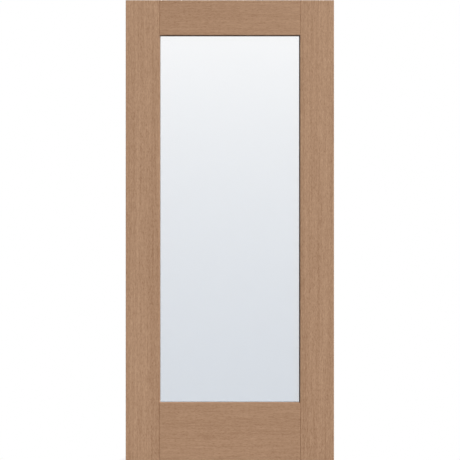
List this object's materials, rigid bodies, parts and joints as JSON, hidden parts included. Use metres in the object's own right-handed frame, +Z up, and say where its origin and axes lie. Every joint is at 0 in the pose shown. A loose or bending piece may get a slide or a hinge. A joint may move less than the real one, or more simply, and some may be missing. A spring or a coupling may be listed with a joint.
{
  "type": "fibreglass entrance door slab",
  "caption": "Glazed entrance door slab: moulded wood-grain fibreglass skins over timber stiles and composite rails, with a full-height sealed glass unit set flush between the skins.",
  "frame": {"origin": "on the hinge edge, at the bottom of the slab and the middle of its thickness", "axes": "+Z up, +X from the hinge edge to the lock edge, +Y from the exterior face to the interior face"},
  "size_m": [0.908, 0.0446, 2.007],
  "materials": {
    "moulded_skin": "moulded wood-grain fibreglass, satin tan",
    "hardwood_edge": "planed hardwood, unfinished",
    "laminated_core": "laminated veneer lumber, unfinished",
    "composite_rail": "extruded composite, matt",
    "foam_core": "rigid foam",
    "glazing_channel": "extruded composite, matt",
    "clear_glass": "clear float glass",
    "spacer_aluminium": "mill finish",
    "edge_seal": "cured sealant",
    "glazing_tape": "closed-cell tape",
    "setting_rubber": "dense rubber"
  },
  "bodies": {
    "root": {"bottom_rail": "composite_rail", "edge_seal_bottom": "edge_seal", "edge_seal_left": "edge_seal", "edge_seal_right": "edge_seal", "edge_seal_top": "edge_seal", "exterior_pane": "clear_glass", "exterior_skin": "moulded_skin", "exterior_tape_bottom": "glazing_tape", "exterior_tape_left": "glazing_tape", "exterior_tape_right": "glazing_tape", "exterior_tape_top": "glazing_tape", "foam_core_bottom": "foam_core", "foam_core_top": "foam_core", "glazing_channel_bottom": "glazing_channel", "glazing_channel_left": "glazing_channel", "glazing_channel_right": "glazing_channel", "glazing_channel_top": "glazing_channel", "hinge_stile_core": "laminated_core", "hinge_stile_edge": "hardwood_edge", "interior_pane": "clear_glass", "interior_skin": "moulded_skin", "interior_tape_bottom": "glazing_tape", "interior_tape_left": "glazing_tape", "interior_tape_right": "glazing_tape", "interior_tape_top": "glazing_tape", "lock_stile_core": "laminated_core", "lock_stile_edge": "hardwood_edge", "setting_block_left": "setting_rubber", "setting_block_right": "setting_rubber", "spacer_bar_bottom": "spacer_aluminium", "spacer_bar_left": "spacer_aluminium", "spacer_bar_right": "spacer_aluminium", "spacer_bar_top": "spacer_aluminium", "top_rail": "composite_rail"}
  },
  "joints": []
}
